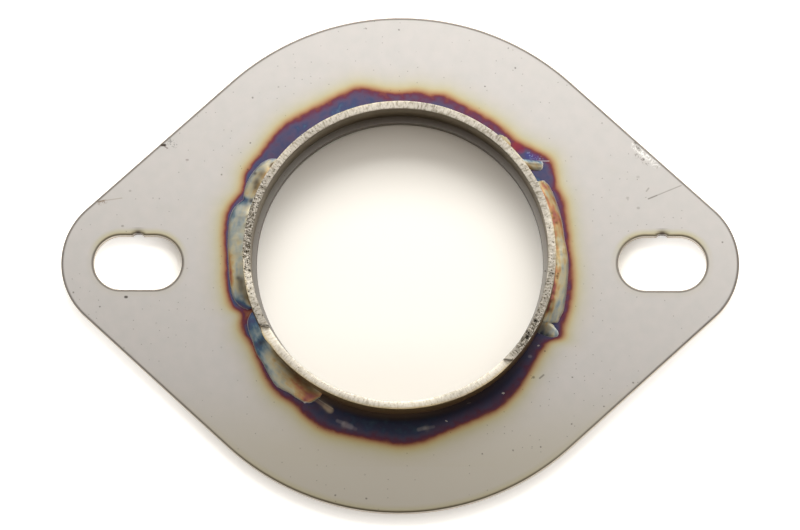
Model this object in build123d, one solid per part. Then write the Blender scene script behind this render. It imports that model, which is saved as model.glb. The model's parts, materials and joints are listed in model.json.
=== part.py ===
"""Two-bolt exhaust flange with a short pipe stub welded to it.

Millimetres. The origin is the centre of the plate's bore on the plate's back face, the face
that meets the gasket. +X runs along the line of the two bolt slots and +Z along the bore, from
the back face towards the open end of the stub.
"""

from build123d import *

import os
from math import acos, cos, degrees, radians, sin

# Laser-cut plate
plate_thickness = 2.0
body_diameter = 102.9
ear_radius = 15.0
ear_spacing = 108.2
edge_break = 0.12
bore_diameter = 58.4

# Slots for the two bolts, and the nick that the laser leaves where it pierces each of them
slot_spacing = 106.9
slot_length = 18.0
slot_width = 11.2
nick_width = 2.1
nick_depth = 0.5

# Pipe stub, which stands a little off the bore's centre, as it was set down by hand
pipe_outside_diameter = 63.5
pipe_wall = 1.6
pipe_offset_y = 0.5
stub_height = 7.1

# The stub was sawn off from two sides, and the second cut came through a little lower
saw_step_depth = 0.5
saw_step_distance = 18.5
saw_step_turn = -7.8

# Weld metal. Each deposit is a list of stations round the pipe: the angle from +X in degrees,
# how far the toe reaches out over the plate, and how far the bead climbs the pipe.
crown_out = 0.6
crown_up = 0.62
weld_root = 0.8
weld_left_stations = [
    (139.6, 0.5, 0.5),
    (143.0, 2.8, 2.0),
    (151.0, 3.6, 2.7),
    (158.4, 2.8, 2.2),
    (165.0, 4.1, 2.8),
    (176.0, 3.45, 2.65),
    (187.0, 3.15, 2.4),
    (193.0, 3.0, 2.1),
    (198.2, 0.7, 0.7),
]
weld_lower_left_stations = [
    (200.4, 0.8, 0.8),
    (206.0, 2.3, 1.6),
    (213.0, 3.0, 2.2),
    (220.0, 3.5, 2.6),
    (226.5, 4.3, 2.8),
    (232.0, 3.6, 2.5),
    (237.0, 3.2, 2.0),
    (240.5, 0.8, 0.7),
]
weld_right_stations = [
    (-21.6, 0.9, 0.8),
    (-17.8, 3.2, 2.4),
    (-10.0, 2.6, 2.2),
    (0.0, 2.25, 2.0),
    (7.0, 1.85, 1.8),
    (13.0, 2.15, 1.9),
    (20.0, 2.4, 2.0),
    (26.0, 2.5, 1.9),
    (30.0, 0.9, 0.7),
]
tack_upper_stations = [
    (33.0, 0.6, 0.4),
    (34.2, 3.5, 0.8),
    (36.2, 3.8, 1.0),
    (38.2, 2.2, 1.0),
    (40.2, 0.6, 0.5),
]
tack_lower_stations = [
    (-27.9, 0.6, 0.4),
    (-26.6, 3.6, 0.9),
    (-25.2, 3.95, 1.1),
    (-23.4, 2.6, 1.1),
    (-22.3, 0.7, 0.5),
]

# A lump of weld metal high on the stub's outside, sawn through with the pipe
lump_angle = 49.6
lump_proud = 0.85
lump_width = 3.8
lump_height = 3.4

pipe_radius = pipe_outside_diameter / 2
pipe_inner_radius = pipe_radius - pipe_wall
slot_x = slot_spacing / 2
ear_x = ear_spacing / 2
stub_top = plate_thickness + stub_height
cut_reach = body_diameter
pipe_axis = Location((0, pipe_offset_y, 0))


def plate_outline():
    """Outline of the plate: a round body and two round ears, joined by their common tangents."""
    body_radius = body_diameter / 2
    lean = acos((body_radius - ear_radius) / ear_x)
    body_touch = (body_radius * cos(lean), body_radius * sin(lean))
    ear_touch = (ear_x + ear_radius * cos(lean), ear_radius * sin(lean))
    ear_tip = ear_x + ear_radius
    top = ThreePointArc(
        (-body_touch[0], body_touch[1]), (0, body_radius), (body_touch[0], body_touch[1])
    )
    bottom = ThreePointArc(
        (body_touch[0], -body_touch[1]), (0, -body_radius), (-body_touch[0], -body_touch[1])
    )
    right_ear = ThreePointArc(
        (ear_touch[0], ear_touch[1]), (ear_tip, 0), (ear_touch[0], -ear_touch[1])
    )
    left_ear = ThreePointArc(
        (-ear_touch[0], -ear_touch[1]), (-ear_tip, 0), (-ear_touch[0], ear_touch[1])
    )
    upper_right = Line(body_touch, ear_touch)
    lower_right = Line((ear_touch[0], -ear_touch[1]), (body_touch[0], -body_touch[1]))
    lower_left = Line((-body_touch[0], -body_touch[1]), (-ear_touch[0], -ear_touch[1]))
    upper_left = Line((-ear_touch[0], ear_touch[1]), (-body_touch[0], body_touch[1]))
    edges = [top, upper_right, right_ear, lower_right, bottom, lower_left, left_ear, upper_left]
    return make_face(edges)


def bolt_slot(x):
    """A bolt slot at x, with the round nick of the laser's pierce in its upper side."""
    nick_radius = (nick_width**2 / 4 + nick_depth**2) / (2 * nick_depth)
    nick_y = slot_width / 2 + nick_depth - nick_radius
    slot = Pos(x, 0) * SlotOverall(slot_length, slot_width)
    nick = Pos(x, nick_y) * Circle(nick_radius)
    return extrude(slot + nick, plate_thickness)


def flange_plate():
    """The plate: its outline with a light edge break, then the bore and both slots."""
    blank = extrude(plate_outline(), plate_thickness)
    flat_faces = blank.faces().filter_by(Axis.Z)
    blank = chamfer(flat_faces.edges(), edge_break)
    bore = extrude(Circle(bore_diameter / 2), plate_thickness)
    return blank - bore - bolt_slot(-slot_x) - bolt_slot(slot_x)


def low_side_of_saw_step(z):
    """Everything above z on the side of the stub that the lower saw cut took."""
    half = Box(cut_reach, cut_reach, stub_height, align=(Align.CENTER, Align.MAX, Align.MIN))
    turned = Rot(0, 0, saw_step_turn) * Pos(0, -saw_step_distance, 0) * half
    return Pos(0, 0, z) * pipe_axis * turned


def pipe_stub():
    """The stub stands on the plate, round the bore, with its sawn end in two levels."""
    ring = Circle(pipe_radius) - Circle(pipe_inner_radius)
    tube = Pos(0, 0, plate_thickness) * pipe_axis * extrude(ring, stub_height)
    return tube - low_side_of_saw_step(stub_top - saw_step_depth)


def weld_section(angle, reach, climb):
    """Upright section of a fillet bead at an angle round the pipe, with its root inside the corner."""
    out = Vector(cos(radians(angle)), sin(radians(angle)), 0)
    along = Vector(-sin(radians(angle)), cos(radians(angle)), 0)
    plane = Plane(origin=(0, pipe_offset_y, plate_thickness), x_dir=out, z_dir=along * -1)
    inner = pipe_radius - weld_root
    toe = pipe_radius + reach
    crown = (pipe_radius + reach * crown_out, climb * crown_up)
    lines = [
        Line((inner, -weld_root), (toe, -weld_root)),
        Line((toe, -weld_root), (toe, 0)),
        ThreePointArc((toe, 0), crown, (pipe_radius, climb)),
        Line((pipe_radius, climb), (inner, climb)),
        Line((inner, climb), (inner, -weld_root)),
    ]
    return plane * make_face(lines)


def weld_deposit(stations, creased=False):
    """A fillet bead lofted through its stations, cut back to the pipe's and the plate's faces.

    A creased bead runs straight from station to station, as the small pointed tacks do.
    """
    bead = loft([weld_section(*station) for station in stations], ruled=creased)
    pipe_core = pipe_axis * extrude(Circle(pipe_radius), stub_top)
    plate_core = extrude(Circle(body_diameter), plate_thickness)
    below = Pos(0, 0, -weld_root) * extrude(Circle(body_diameter), weld_root)
    return bead - pipe_core - plate_core - below


def weld_lump():
    """The lump on the stub's outside: a rounded pad that ends at the saw cut."""
    pad_radius = (lump_width**2 / 4 + lump_proud**2) / (2 * lump_proud)
    pad_centre = pipe_radius + lump_proud - pad_radius
    pad = Pos(pad_centre, 0, stub_top - lump_height) * extrude(Circle(pad_radius), lump_height)
    foot = pad.faces().sort_by(Axis.Z)[0].edges()
    pad = chamfer(foot, lump_height * 0.6, lump_proud * 0.9)
    turned = pipe_axis * Rot(0, 0, lump_angle) * pad
    return turned - pipe_axis * extrude(Circle(pipe_radius), stub_top)


parts = {
    "flange_plate": flange_plate(),
    "pipe_stub": pipe_stub(),
    "weld_left": weld_deposit(weld_left_stations),
    "weld_lower_left": weld_deposit(weld_lower_left_stations),
    "weld_right": weld_deposit(weld_right_stations),
    "tack_upper_right": weld_deposit(tack_upper_stations, creased=True),
    "tack_lower_right": weld_deposit(tack_lower_stations, creased=True),
    "weld_lump": weld_lump(),
}

os.makedirs("parts", exist_ok=True)
for node, shape in parts.items():
    export_step(shape, f"parts/{node}.step")
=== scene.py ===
"""A two-bolt exhaust flange with a short stub of tube welded to it, seen from above on a white table.

Lengths are in metres unless a name or a comment says millimetres. Angles that place welds, tints and
marks are in degrees round the tube, counted from +X towards +Y.
"""

import json
import math

import bpy
import numpy as np
from mathutils import Matrix, Vector, noise
from mathutils.geometry import tessellate_polygon


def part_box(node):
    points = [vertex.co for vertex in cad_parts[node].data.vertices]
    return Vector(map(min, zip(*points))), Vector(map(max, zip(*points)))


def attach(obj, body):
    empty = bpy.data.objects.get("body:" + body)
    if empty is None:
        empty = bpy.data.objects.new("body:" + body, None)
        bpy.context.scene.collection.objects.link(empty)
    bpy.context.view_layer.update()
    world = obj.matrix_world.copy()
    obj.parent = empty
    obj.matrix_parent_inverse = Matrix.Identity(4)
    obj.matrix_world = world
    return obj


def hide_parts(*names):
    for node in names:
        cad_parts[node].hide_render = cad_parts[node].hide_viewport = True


MM = 0.001

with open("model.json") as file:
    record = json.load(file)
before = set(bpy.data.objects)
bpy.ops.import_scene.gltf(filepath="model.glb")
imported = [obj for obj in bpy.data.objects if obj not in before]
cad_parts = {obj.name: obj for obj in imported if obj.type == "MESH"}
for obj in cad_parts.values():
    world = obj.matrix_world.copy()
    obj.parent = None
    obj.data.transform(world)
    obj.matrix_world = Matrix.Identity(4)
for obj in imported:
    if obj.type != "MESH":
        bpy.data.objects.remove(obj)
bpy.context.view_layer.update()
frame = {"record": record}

# Sizes that the frame gives
plate_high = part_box("flange_plate")[1]
stub_low, stub_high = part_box("pipe_stub")
mounts = {mount["name"]: mount["dims"] for mount in frame["record"]["mounts"]}
body_radius = plate_high.y
ear_tip = plate_high.x
plate_top = plate_high.z
slot_x = mounts["bolt_slots"]["spacing_x_mm"] * MM / 2
slot_half_length = mounts["bolt_slots"]["slot_length_mm"] * MM / 2
slot_radius = mounts["bolt_slots"]["hole_r_mm"] * MM
tube_radius = (stub_high.x - stub_low.x) / 2
tube_inner_radius = mounts["stub_bore"]["r_mm"] * MM
tube_y = (stub_high.y + stub_low.y) / 2
stub_top = stub_high.z

# Sizes that the frame doesn't give, as in the part
ear_radius = 15.0 * MM
bore_radius = 29.2 * MM
nick_half_width = 1.05 * MM
nick_depth = 0.5 * MM
saw_step_depth = 0.5 * MM
saw_step_distance = 18.5 * MM
saw_step_turn = math.radians(-7.8)
# How far out the lip round a slot still follows its nick
nick_fades = 1.6 * MM
# Points round the bore, and round each ring of the plate's tinted face
ring_steps = 720
# Faces that meet at a sharper turn than this keep a hard edge between them
crease_angle = math.radians(38)


def linear(hex_colour):
    """An sRGB hex colour as the linear red, green, blue and alpha that Blender's sockets take."""
    parts = [int(hex_colour[i : i + 2], 16) / 255 for i in (1, 3, 5)]
    return [p / 12.92 if p <= 0.04045 else ((p + 0.055) / 1.055) ** 2.4 for p in parts] + [1.0]


def set_inputs(tree, node, inputs):
    """Sets each input to a value, or links it to a socket or to another node's first output."""
    for name, value in inputs.items():
        if isinstance(value, bpy.types.Node):
            value = value.outputs[0]
        if isinstance(value, bpy.types.NodeSocket):
            tree.links.new(value, node.inputs[name])
        else:
            node.inputs[name].default_value = value


def add(tree, kind, inputs=None, **settings):
    """Adds a shader node of a kind, such as Math, with its settings and its inputs."""
    made = tree.nodes.new("ShaderNode" + kind)
    for name, value in settings.items():
        setattr(made, name, value)
    set_inputs(tree, made, inputs or {})
    return made


def through(stations, at):
    """A smooth curve through (place, value) stations, read at an array of places."""
    places, values = (np.array(column, float) for column in zip(*stations))
    slopes = np.gradient(values, places)
    i = np.clip(np.searchsorted(places, at, side="right") - 1, 0, len(places) - 2)
    span = places[i + 1] - places[i]
    t = np.clip((at - places[i]) / span, 0, 1)
    rise = values[i] * (1 + 2 * t) * (1 - t) ** 2 + values[i + 1] * (3 - 2 * t) * t**2
    return rise + span * (slopes[i] * t * (1 - t) ** 2 - slopes[i + 1] * (1 - t) * t**2)


def round_the_tube(stations, at):
    """The same for a closed list of stations, from 0 to under 360 degrees."""
    before = [(angle - 360, value) for angle, value in stations[-3:]]
    after = [(angle + 360, value) for angle, value in stations[:3]]
    return through(before + list(stations) + after, np.mod(at, 360))


def ramp(at, low, high):
    """0 up to low, 1 from high, and a smooth rise in between."""
    t = np.clip((at - low) / (high - low), 0, 1)
    return t * t * (3 - 2 * t)


def turn_between(angle, start):
    """How many degrees an angle lies past a start, from -180 to 180."""
    return (angle - start + 180) % 360 - 180


def soft_spot(along, across, size, longer=1.0):
    """1 in the middle of a soft spot and less away from it. longer draws it out across."""
    return np.exp(-((along / size) ** 2) - (across / (size * longer)) ** 2)


def on_tube(angle, radius, height):
    """Points at angles in degrees and radii round the tube's axis, as an array with x, y and z."""
    a, r, z = np.broadcast_arrays(np.radians(angle), radius, height)
    return np.stack([r * np.cos(a), r * np.sin(a) + tube_y, z], axis=-1)


def strips(first, rows, count):
    """Quads between neighbouring closed rows of a grid of points that starts at index first."""
    faces = []
    for row in range(rows - 1):
        low, high = first + row * count, first + (row + 1) * count
        for i in range(count):
            j = (i + 1) % count
            faces.append((low + i, low + j, high + j, high + i))
    return faces


def flat_fill(points, outer, holes):
    """Triangles of a flat face between an outer loop of indices and the loops of its holes."""
    loops = [outer] + holes
    flat = [[Vector(points[i]) for i in loop] for loop in loops]
    names = [i for loop in loops for i in loop]
    return [tuple(names[k] for k in triangle) for triangle in tessellate_polygon(flat)]


def piece(name, points, faces, materials, replaced, attributes, second_material=None):
    """A mesh piece that stands for a CAD node, with its vertex attributes and smooth faces. The last
    value says for each face whether it has the second material."""
    mesh = bpy.data.meshes.new(name)
    mesh.from_pydata([tuple(p) for p in points], [], faces)
    for title, values in attributes.items():
        layer = mesh.attributes.new(title, "FLOAT", "POINT")
        layer.data.foreach_set("value", np.asarray(values, np.float32))
    for material in materials:
        mesh.materials.append(material)
    if second_material is not None:
        mesh.polygons.foreach_set("material_index", second_material)
    mesh.polygons.foreach_set("use_smooth", [True] * len(mesh.polygons))
    mesh.set_sharp_from_angle(angle=crease_angle)
    mesh.update()
    made = bpy.data.objects.new(name, mesh)
    bpy.context.scene.collection.objects.link(made)
    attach(made, "root")
    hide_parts(replaced)


# Heat tint. Steel that was heated in air shows the colours of its thin oxide, always in one order
# from the cool steel towards the weld. temper is the place in that order, and soot darkens it, with
# painted shade in it on the ledge and the bore inside the tube and at the beads' roots.
# Each tint is what the plain steel's red, green and blue are multiplied by.
temper_order = [
    (0.00, "#FFFFFF"),  # plain steel
    (0.10, "#FDFCF8"),
    (0.20, "#FBFAEE"),  # faint straw
    (0.30, "#F8F5DD"),
    (0.40, "#F6EFCA"),  # straw
    (0.50, "#F2E0B2"),  # gold
    (0.60, "#E6C396"),  # bronze
    (0.68, "#CC9474"),  # red brown
    (0.74, "#A6625C"),
    (0.80, "#88506A"),  # purple
    (0.87, "#7D6484"),  # violet
    (0.96, "#726C90"),  # indigo
    (1.06, "#5E6894"),  # deep blue
    (1.16, "#6486A8"),  # blue teal
    (1.25, "#95AEC0"),  # light blue
    (1.35, "#C0CED4"),
    (1.45, "#DADCCE"),  # pale grey green
    (1.55, "#E9E2C4"),  # cream of the second order
    (1.65, "#E6CC9C"),  # tan
    (1.75, "#DFA680"),  # orange
    (1.85, "#C68280"),  # salmon
    (2.00, "#7E4662"),  # red purple of the second order
]
temper_end = temper_order[-1][0]

# How far the purple band reaches from the tube's axis over the plate: angle, millimetres
purple_reach = [
    (0, 34.75), (5, 34.45), (10, 34.6), (15, 34.85), (20, 35.4), (26, 35.3), (30, 36.2), (34, 36.9),
    (40, 35.6), (46, 34.3), (54, 34.4), (66, 34.6), (71, 34.9), (75, 35.4), (80, 35.0), (85, 35.2),
    (90, 34.8), (95, 35.1), (99, 36.0), (103, 36.8), (110, 36.5), (116, 36.2), (122, 36.3),
    (130, 36.8), (136, 36.5), (142, 36.1), (150, 36.3), (157, 35.3), (160, 35.9), (164, 36.5),
    (170, 36.2), (180, 35.4), (190, 35.5), (196, 35.1), (199.5, 33.8), (202, 34.6), (205, 34.9),
    (209, 34.6), (216, 35.2), (222, 36.2), (228, 36.7), (234, 36.4), (240, 37.2), (246, 37.7),
    (254, 37.3), (262, 37.2), (271, 37.8), (277, 37.5), (285, 36.4), (293, 36.0), (305, 36.3),
    (312, 35.7), (320, 34.6), (328, 34.1), (331, 34.4), (334, 36.2), (338, 35.8), (345, 35.6),
    (352, 35.3),
]
# The tint inside that band, up to the tube: angle, temper
inner_temper = [
    (0, 0.84), (15, 0.86), (28, 0.98), (32, 1.04), (37, 0.92), (41, 1.04), (43, 0.84),
    (45.5, 0.74), (48, 0.96),
    (55, 0.90), (65, 0.88), (75, 0.96), (85, 0.93), (95, 0.96), (103, 1.02), (111, 1.08),
    (116, 0.98), (121, 0.96), (127, 1.01), (134, 0.95), (140, 0.96), (146, 1.00), (152, 1.02),
    (158, 1.00), (163, 1.04), (172, 1.02), (182, 1.02), (193, 1.05), (196, 1.02), (199, 0.72),
    (202, 0.80), (204.5, 1.04), (209, 1.16), (214, 1.10), (222, 0.92), (240, 0.96), (252, 1.03),
    (265, 1.08), (280, 1.06), (290, 0.97), (300, 0.92), (312, 0.95), (322, 1.00), (328, 0.96),
    (334, 1.06), (340, 0.88), (350, 0.84),
]
# How many millimetres inside the purple that tint is reached: angle, millimetres
tint_settles = [
    (0, 1.0), (20, 1.2), (40, 1.9), (125, 1.9), (142, 0.8), (160, 0.6), (190, 0.6), (215, 1.0),
    (240, 1.9), (330, 1.9), (345, 1.1),
]
# Soot and thick scale over that tint: angle, how much they cover
inner_soot = [
    (0, 0.10), (60, 0.0), (120, 0.0), (134, 0.12), (160, 0.0), (186, 0.0), (200, 0.05), (215, 0.25),
    (228, 0.45), (240, 0.62), (262, 0.74), (280, 0.80), (300, 0.84), (315, 0.82), (326, 0.62),
    (335, 0.40), (345, 0.15),
]
# Thick brown scale in the corner at the tube's foot: angle, how much of it
corner_scale = [
    (0, 0.0), (100, 0.0), (197, 0.0), (205, 0.3), (220, 0.6), (240, 0.80), (262, 0.85), (276, 0.75),
    (290, 0.45), (302, 0.25), (318, 0.15), (328, 0.10), (336, 0.0),
]
# The same on the tube's outside
tube_scale = [
    (0, 0.20), (100, 0.20), (197, 0.20), (205, 0.41), (220, 0.62), (240, 0.78), (262, 0.80),
    (290, 0.80), (315, 0.66), (326, 0.42), (336, 0.20),
]
# The ledge of the plate inside the tube, where the fumes of the weld settled: angle, soot and scale.
# Both also hold painted shade, darkest round the back, where the tube's wall shades the ledge
ledge_soot_and_shade = [
    (0, 0.12), (24, 0.20), (48, 0.38), (62, 0.42), (110, 0.42), (132, 0.34), (150, 0.30), (200, 0.30),
    (330, 0.20),
]
ledge_scale_and_shade = [
    (0, 0.0), (30, 0.05), (50, 0.22), (66, 0.32), (108, 0.32), (130, 0.15), (150, 0.05), (200, 0.0),
    (330, 0.0),
]
# How temper rises across the plate towards the tube: millimetres inside the purple reach, temper
temper_rise = [
    (-6.5, 0.0), (-5.0, 0.05), (-3.8, 0.12), (-2.9, 0.20), (-2.2, 0.28), (-1.65, 0.37), (-1.15, 0.48),
    (-0.7, 0.59), (-0.32, 0.67), (0.0, 0.74), (0.3, 0.80),
]
# Pale smears over the dark tint: angle, millimetres from the axis, size in millimetres, strength
pale_smears = [
    (252.0, 35.7, 0.55, 0.22), (279.3, 35.05, 0.45, 0.22), (243.0, 33.4, 0.55, 0.45),
    (245.2, 33.8, 0.50, 0.55), (241.5, 33.0, 0.50, 0.35),
]

# The ledge reaches this far under the tube's wall, in millimetres, and hardly took any tint
ledge_reach = 0.6
ledge_temper = 0.10
# The corner scale thins out between these distances from the tube's axis, in millimetres
corner_scale_full = 31.9
corner_scale_gone = 33.5
# How much longer a smear is away from the tube than round it
smear_longer = 1.3


def plate_heat(points):
    """Temper, soot, scale and pale smears at points of the plate's face. On the ledge inside the
    tube, soot and scale hold painted shade.
    """
    x, y = points[:, 0], points[:, 1] - tube_y
    angle = np.degrees(np.arctan2(y, x))
    radius = np.hypot(x, y) / MM
    inside = round_the_tube(purple_reach, angle) - radius
    deep = round_the_tube(inner_temper, angle)
    rise = through(temper_rise, np.clip(inside, temper_rise[0][0], temper_rise[-1][0]))
    settled = ramp(inside, 0.1, round_the_tube(tint_settles, angle))
    temper = rise + (deep - temper_rise[-1][1]) * settled
    # One veil of soot starts just outside the purple, and a second one lies over the deep tint
    veils = 0.55 * ramp(inside, -0.9, 0.6) + 0.45 * ramp(inside, 0.5, 3)
    soot_and_shade = round_the_tube(inner_soot, angle) * veils
    scale_and_shade = round_the_tube(corner_scale, angle) * (1 - ramp(radius, corner_scale_full, corner_scale_gone))
    # On the ledge, soot and scale also hold painted shade, darkest round the back
    ledge = radius < tube_inner_radius / MM + ledge_reach
    temper = np.where(ledge, ledge_temper, temper)
    soot_and_shade = np.where(ledge, round_the_tube(ledge_soot_and_shade, angle), soot_and_shade)
    scale_and_shade = np.where(ledge, round_the_tube(ledge_scale_and_shade, angle), scale_and_shade)
    smear = np.zeros(len(points))
    for at_angle, at_radius, size, strength in pale_smears:
        away = np.radians(turn_between(angle, at_angle)) * at_radius
        smear += strength * soft_spot(away, radius - at_radius, size, smear_longer)
    return {"temper": temper, "soot_and_shade": soot_and_shade, "scale_and_shade": scale_and_shade, "smear": np.clip(smear, 0, 1)}


def outline(inset):
    """The plate's outline as a loop of points, moved in from the edge: a round body and two ears."""
    r_body, r_ear = body_radius - inset, ear_radius - inset
    ear_x = ear_tip - ear_radius
    lean = math.acos((body_radius - ear_radius) / ear_x)
    # Each arc's centre along X, its radius, start and end, and how many points it has
    arcs = [
        (ear_x, r_ear, -lean, lean, 90),
        (0.0, r_body, lean, math.pi - lean, 180),
        (-ear_x, r_ear, math.pi - lean, math.pi + lean, 90),
        (0.0, r_body, math.pi + lean, 2 * math.pi - lean, 180),
    ]
    loop = []
    for centre, radius, start, end, count in arcs:
        turn = np.linspace(start, end, count)
        loop += [(centre + radius * c, radius * s) for c, s in zip(np.cos(turn), np.sin(turn))]
    return np.array(loop)


def slot_outline(centre, grow):
    """A bolt slot as a loop, moved out from its edge, with the laser's pierce nick on its upper side."""
    radius = slot_radius + grow
    half = slot_half_length - slot_radius
    right = np.radians(np.linspace(-90, 90, 60))
    left = right + math.pi
    straight = np.linspace(half, -half, 90)[1:-1]
    nick = np.clip(1 - (straight / (nick_half_width + grow)) ** 2, 0, 1) ** 0.5
    nick = nick * nick_depth * max(0.0, 1 - grow / nick_fades)
    loop = np.concatenate([
        np.stack([half + radius * np.cos(right), radius * np.sin(right)], 1),
        np.stack([straight, radius + nick], 1),
        np.stack([-half + radius * np.cos(left), radius * np.sin(left)], 1),
        np.stack([-straight, np.full(len(straight), -radius)], 1),
    ])
    return loop + [centre, 0]


def ring(radius, centre_y):
    """A loop of points round the tube or the bore."""
    turn = np.radians(np.arange(ring_steps) * 360 / ring_steps)
    return np.stack([radius * np.cos(turn), radius * np.sin(turn) + centre_y], 1)


# The cut edge of the plate: millimetres in from the edge, millimetres up, how much of the burnt line
# shows, and the temper that the laser itself left there
cut_profile = [
    (0.10, 0.00, 0.0, 0.0), (0.00, 0.10, 0.0, 0.0), (0.00, 1.80, 0.1, 0.0), (0.03, 1.91, 0.7, 0.2),
    (0.09, 1.97, 1.0, 0.4), (0.17, 2.00, 1.0, 0.4), (0.36, 2.00, 1.0, 0.4), (0.50, 2.00, 0.3, 0.38),
    (0.66, 2.00, 0.0, 0.35), (1.10, 2.00, 0.0, 0.24), (1.70, 2.00, 0.0, 0.0),
]
# The plate's thickness in that profile
profile_height = cut_profile[-1][1]
# How many rows of faces belong to the wall, counted from the back
wall_rows = 4
# The bore's lip is sharper: its share of the insets above
bore_lip_share = 0.4
# How dark the fumes left the bore's wall, with painted shade for the recess under the tube
bore_soot_and_shade = 0.85
# How dark the burnt line is round the outline: angle, share of the full line
outline_burn = [
    (0, 0.85), (15, 0.72), (35, 0.82), (50, 0.84), (90, 0.86), (120, 0.82), (140, 0.78), (165, 0.80),
    (180, 0.72), (190, 0.50), (215, 0.47), (233, 0.55), (242, 0.63), (270, 0.70), (298, 0.56),
    (316, 0.44), (335, 0.50), (350, 0.62),
]


def laser_side(title, y):
    """How strongly an edge at y took the laser's heat tint: the slots above, the outline below."""
    if title == "outline":
        return 0.75 * float(ramp(-y, 25 * MM, 48 * MM))
    return 0.3 + 0.7 * float(ramp(y, 0, slot_radius))


def burn_share(title, x, y):
    """How dark the burnt line is at a point of an edge. The bore's edge has none."""
    if title == "bore":
        return 0.0
    if title == "outline":
        return float(round_the_tube(outline_burn, math.degrees(math.atan2(y, x))))
    return 0.80 - 0.14 * float(ramp(y, -slot_radius, slot_radius))


def nick_dross(x, y, inset):
    """Dark dross round the pierce nick of each slot: 1 in it and less over the plate beside it."""
    sideways = abs(abs(x) - slot_x) / MM
    short_of_nick = min(0.0, (y - slot_radius) / MM + 0.4) / 0.2
    thins = 1 - 0.75 * float(ramp(inset, 0.36, 1.2))
    return math.exp(-(sideways**2) - short_of_nick**2) * thins


# The rings' distances from the tube's axis, in millimetres, close together where the bands are thin
tint_radii = np.concatenate([[30.4, 31.2], np.arange(31.8, 38.6, 0.2), np.arange(38.6, 43.0, 0.55)])


def cut_edges():
    """The plate's cut edges: their points, how burnt and how tinted by the laser each point is, their
    faces and whether each is wall, and every edge's loops of indices at the back and at the lip."""
    points, burnt, laser_heat, faces, on_wall = [], [], [], [], []
    loops = {}
    # Each edge's shape, and 1 where the metal lies inside it or -1 where it lies outside
    edges = {
        "outline": (outline, 1),
        "left": (lambda inset: slot_outline(-slot_x, -inset), -1),
        "right": (lambda inset: slot_outline(slot_x, -inset), -1),
        "bore": (lambda inset: ring(bore_radius - inset, 0), -1),
    }
    for title, (shape, side) in edges.items():
        first = len(points)
        for inset, height, burn, heat in cut_profile:
            if title == "bore":
                inset, heat = inset * bore_lip_share, 0.0
            for x, y in shape(side * inset * MM):
                points.append((x, y, height / profile_height * plate_top))
                dross = nick_dross(x, y, inset) if side < 0 else 0
                burnt.append(max(burn * burn_share(title, x, y), dross))
                laser_heat.append(heat * laser_side(title, y))
        count = (len(points) - first) // len(cut_profile)
        quads = strips(first, len(cut_profile), count)
        if side < 0:
            quads = [quad[::-1] for quad in quads]
        faces += quads
        on_wall += [k // count < wall_rows for k in range(len(quads))]
        back_loop = list(range(first, first + count))
        lip_loop = list(range(len(points) - count, len(points)))
        loops[title] = (back_loop, lip_loop)
    return points, burnt, laser_heat, faces, on_wall, loops


def plate_attributes(points, burnt, laser_heat):
    """What the plate's materials read at each point: the burn of the cut edges, the weld's heat on the
    face, the laser's heat on the lips, and soot with painted shade in the bore."""
    low = points[:, 2] < plate_top * 0.5
    attributes = {"burnt": burnt}
    for title, values in plate_heat(points).items():
        attributes[title] = np.where(low, 0, values)
    attributes["temper"] = np.maximum(attributes["temper"], laser_heat)
    near_bore = np.hypot(points[:, 0], points[:, 1]) < bore_radius + 0.5 * MM
    in_bore = near_bore & (points[:, 2] < plate_top * 0.99)
    # Soot with painted shade on the bore's wall, in the recess under the tube
    attributes["soot_and_shade"] = np.where(in_bore, bore_soot_and_shade, attributes["soot_and_shade"])
    return attributes


def flange_plate(face, wall):
    """The laser-cut plate: cut edges with a rolled, burnt upper lip, and a face that carries the tint."""
    points, burnt, laser_heat, faces, on_wall, loops = cut_edges()
    first = len(points)
    for radius in tint_radii:
        points += [(x, y, plate_top) for x, y in ring(radius * MM, tube_y)]
    burnt += [0.0] * (len(points) - first)
    laser_heat += [0.0] * (len(points) - first)
    bore_lip = loops["bore"][1]
    flat_faces = []
    for i in range(ring_steps):
        j = (i + 1) % ring_steps
        flat_faces.append((bore_lip[i], first + i, first + j, bore_lip[j]))
    flat_faces += [quad[::-1] for quad in strips(first, len(tint_radii), ring_steps)]
    tint_edge = list(range(len(points) - ring_steps, len(points)))
    flat_faces += flat_fill(points, loops["outline"][1], [tint_edge, loops["left"][1], loops["right"][1]])
    back = flat_fill(points, loops["outline"][0], [loops[title][0] for title in ("bore", "left", "right")])
    flat_faces += [triangle[::-1] for triangle in back]
    faces += flat_faces
    on_wall += [False] * len(flat_faces)
    points = np.array(points)
    attributes = plate_attributes(points, burnt, laser_heat)
    piece(
        "flange_plate_cut", points, faces, [face, wall], "flange_plate", attributes, on_wall
    )


# The sawn end: angle, how pitted it is
end_pits = [
    (0, 0.55), (20, 0.45), (40, 0.35), (60, 0.20), (90, 0.22), (115, 0.30), (135, 0.35),
    (150, 0.60), (165, 0.95), (183, 1.00), (192, 0.65), (203, 0.40), (209, 0.12), (225, 0.08),
    (260, 0.05), (300, 0.08), (314, 0.15), (318, 0.60), (328, 1.00), (337, 0.85), (348, 0.70),
]
# The same for how bright and clean it is
end_bright = [
    (0, 0.25), (12, 0.35), (24, 0.0), (32, 0.05), (40, 0.25), (50, 0.0), (64, 0.15), (72, 0.12),
    (80, 0.0), (90, 0.20), (106, 0.20), (115, 0.12), (127, 0.0), (140, 0.20), (150, 0.0), (160, 0.0),
    (170, 0.0), (178, 0.10), (185, 0.45), (192, 0.60), (200, 0.10), (207, 0.0), (210, 0.70),
    (222, 0.50), (236, 0.62), (255, 0.55), (268, 0.80), (282, 0.85), (291, 0.50), (304, 0.80),
    (314, 0.65), (317, 0.15), (330, 0.0), (345, 0.0),
]
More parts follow.
